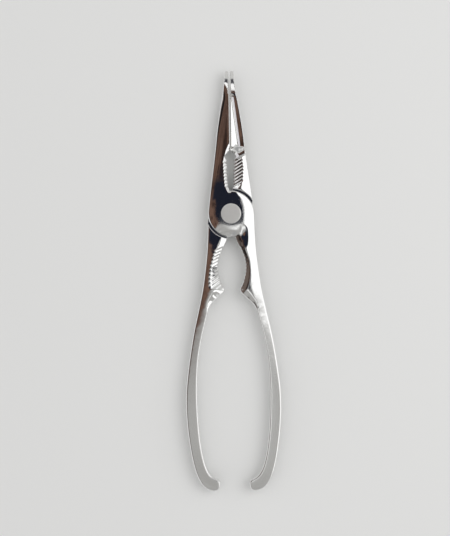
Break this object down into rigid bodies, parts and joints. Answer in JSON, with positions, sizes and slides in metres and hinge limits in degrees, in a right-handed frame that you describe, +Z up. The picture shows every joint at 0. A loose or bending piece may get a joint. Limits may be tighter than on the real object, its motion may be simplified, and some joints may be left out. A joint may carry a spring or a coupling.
{
  "type": "lobster cracker",
  "caption": "Long-nosed seafood pliers with toothed jaws, a toothed cracking window below the riveted pivot and slim bowed handles with inward hooked ends.",
  "frame": {"origin": "on the pivot axis, at the flat lower end of the rivet, on which the tool rests", "axes": "+Y along the tool towards the jaw tips, +X towards the front lever's handle, +Z up out of the front lever's outer side"},
  "size_m": [0.0424, 0.1848, 0.0097],
  "materials": {
    "chrome_plate": "bright plated",
    "satin_rivet": "satin"
  },
  "bodies": {
    "rear": {"rear_lever": "chrome_plate", "pivot_rivet": "satin_rivet"},
    "front": {"front_lever": "chrome_plate"}
  },
  "joints": [
    {"name": "pivot", "type": "hinge", "parent": "rear", "child": "front", "pos_m": [0, 0, 0.0048], "axis": [0, 0, 1], "range_deg": [0, 44]}
  ]
}
